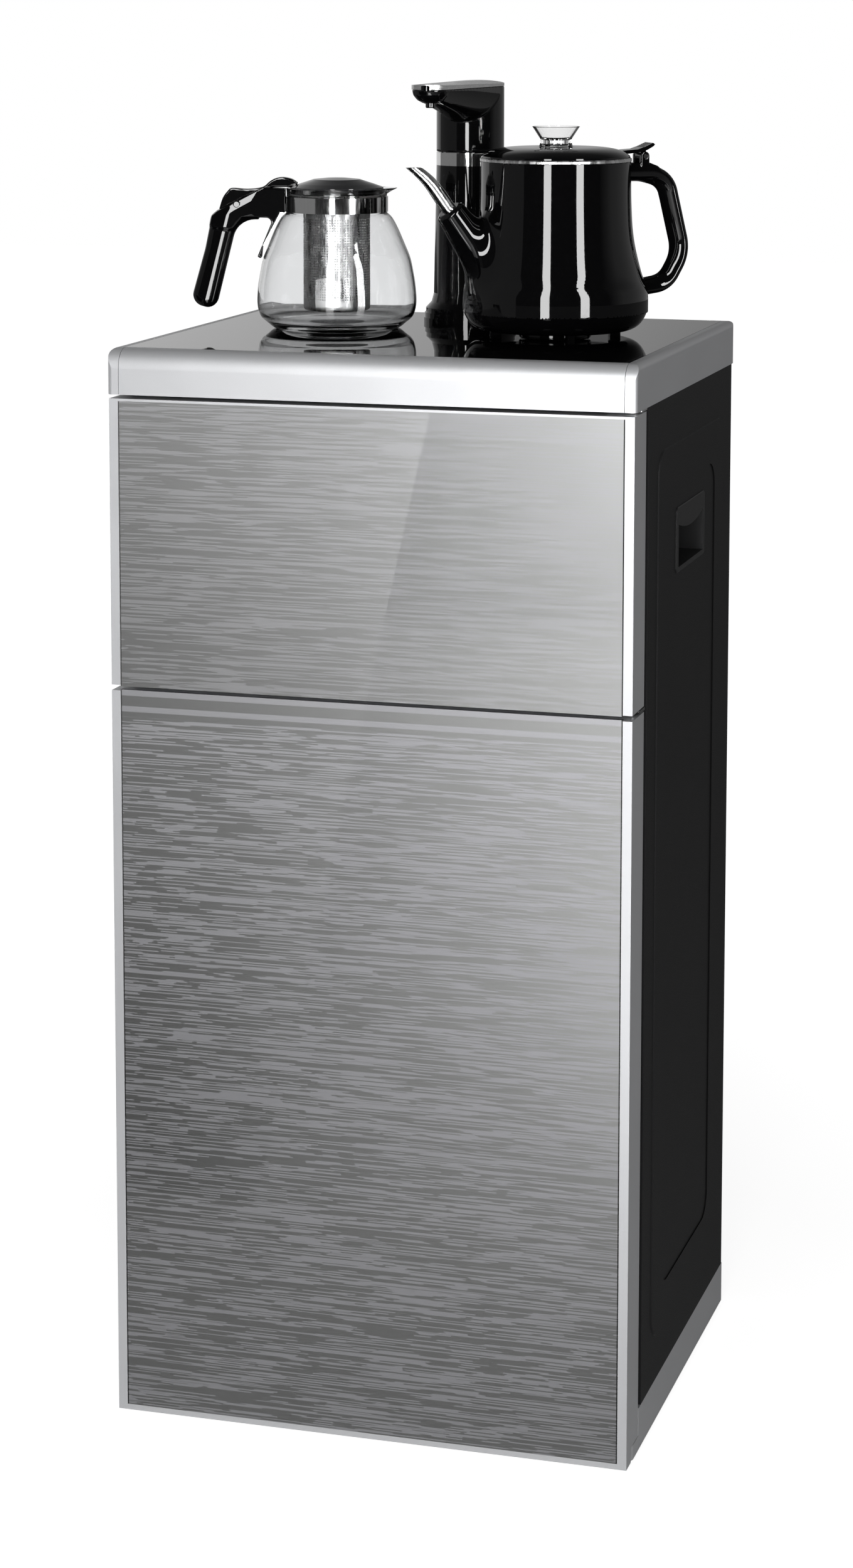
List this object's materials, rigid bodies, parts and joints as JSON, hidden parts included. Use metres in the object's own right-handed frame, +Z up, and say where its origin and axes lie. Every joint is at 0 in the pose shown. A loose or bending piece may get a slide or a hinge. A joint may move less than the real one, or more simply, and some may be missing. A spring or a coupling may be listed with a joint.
{
  "type": "tea bar water dispenser",
  "caption": "Tall water dispenser cabinet with hinged glass doors and a black glass top that carries a swivelling faucet, an electric kettle and a glass teapot.",
  "frame": {"origin": "on the floor, below the middle of the cabinet", "axes": "+Z up, the doors face -Y, their hinges are on the +X side"},
  "size_m": [0.433, 0.376, 1.0919],
  "materials": {
    "silver_paint": "satin silver lacquer",
    "dark_paint": "fine-grained satin black lacquer",
    "black_plastic": "fine-grained satin black",
    "liner_plastic": "smooth satin grey",
    "feet_rubber": "matt black",
    "door_glass": "clear glass over a silver print with fine level brushing",
    "top_glass": "black, mirror-smooth",
    "gloss_black": "piano black",
    "bright_steel": "polished",
    "satin_steel": "brushed",
    "clear_glass": "clear",
    "smoked_glass": "grey tint",
    "clear_plastic": "clear",
    "tube_plastic": "milky silicone and polythene",
    "inner_metal": "plain",
    "circuit_board": "green board"
  },
  "bodies": {
    "cabinet": {"base_plinth": "silver_paint", "rubber_feet": "feet_rubber", "side_panel_left": "dark_paint", "side_panel_right": "dark_paint", "back_panel": "dark_paint", "carry_pockets": "black_plastic", "front_frame": "black_plastic", "lower_liner": "liner_plastic", "upper_liner": "liner_plastic", "cap_frame": "silver_paint", "cap_front_strip": "silver_paint", "glass_top": "top_glass", "lower_hinge_pin": "satin_steel", "middle_hinge": "satin_steel", "upper_hinge": "satin_steel", "faucet_column": "gloss_black", "faucet_ring": "bright_steel", "kettle_coupler": "gloss_black", "keep_warm_plate": "inner_metal", "touch_board": "circuit_board", "power_supply": "inner_metal", "water_pump": "inner_metal", "pump_bracket": "satin_steel", "suction_hose": "tube_plastic", "delivery_hose": "tube_plastic", "dip_tube": "tube_plastic", "power_inlet": "black_plastic", "strike_plates": "satin_steel", "panel_screws": "satin_steel"},
    "upper_door": {"upper_door_frame": "silver_paint", "upper_door_glass": "door_glass", "upper_door_cover": "black_plastic", "upper_door_magnet": "inner_metal"},
    "lower_door": {"lower_door_frame": "silver_paint", "lower_door_glass": "door_glass", "lower_door_cover": "black_plastic", "lower_door_magnet": "inner_metal"},
    "faucet_head": {"faucet_head": "gloss_black", "faucet_cap": "satin_steel", "faucet_nozzle": "bright_steel"},
    "kettle": {"kettle_shell": "gloss_black", "kettle_pot": "satin_steel", "kettle_heating_plate": "satin_steel", "kettle_base": "gloss_black", "kettle_rim_ring": "bright_steel", "kettle_spout": "bright_steel", "kettle_handle": "gloss_black", "kettle_hinge_pin": "bright_steel"},
    "kettle_lid": {"kettle_lid": "gloss_black", "funnel_knob": "clear_plastic"},
    "teapot": {"teapot_glass": "clear_glass", "teapot_collar": "bright_steel", "teapot_rim": "gloss_black", "infuser": "satin_steel", "teapot_handle": "gloss_black", "teapot_pin": "bright_steel", "teapot_strap": "bright_steel"},
    "teapot_lid": {"teapot_lid": "smoked_glass", "teapot_lever": "gloss_black"},
    "power_switch": {"power_switch": "gloss_black"}
  },
  "joints": [
    {"name": "upper_door_hinge", "type": "hinge", "parent": "cabinet", "child": "upper_door", "pos_m": [0.207, -0.163, 0.7286], "axis": [0, 0, 1], "range_deg": [0, 90]},
    {"name": "lower_door_hinge", "type": "hinge", "parent": "cabinet", "child": "lower_door", "pos_m": [0.207, -0.163, 0.3065], "axis": [0, 0, 1], "range_deg": [0, 90]},
    {"name": "faucet_swivel", "type": "hinge", "parent": "cabinet", "child": "faucet_head", "pos_m": [-0.0008, 0.1153, 1.04], "axis": [0, 0, 1], "range_deg": [-60, 60]},
    {"name": "kettle_lift", "type": "slide", "parent": "cabinet", "child": "kettle", "axis": [0, 0, -1], "range_m": [-0.04, 0]},
    {"name": "kettle_lid_hinge", "type": "hinge", "parent": "kettle", "child": "kettle_lid", "pos_m": [0.15723, 0.08004, 1.0316], "axis": [0.6157, -0.788, 0], "range_deg": [-60, 0]},
    {"name": "teapot_lift", "type": "slide", "parent": "cabinet", "child": "teapot", "axis": [0, 0, 1], "range_m": [0, 0.04]},
    {"name": "teapot_lid_hinge", "type": "hinge", "parent": "teapot", "child": "teapot_lid", "pos_m": [-0.17435, 0.00615, 0.9899], "axis": [0.2756, -0.9613, 0], "range_deg": [0, 35]},
    {"name": "power_switch_rocker", "type": "hinge", "parent": "cabinet", "child": "power_switch", "pos_m": [0.141, 0.182, 0.11], "axis": [1, 0, 0], "range_deg": [0, 18]}
  ]
}
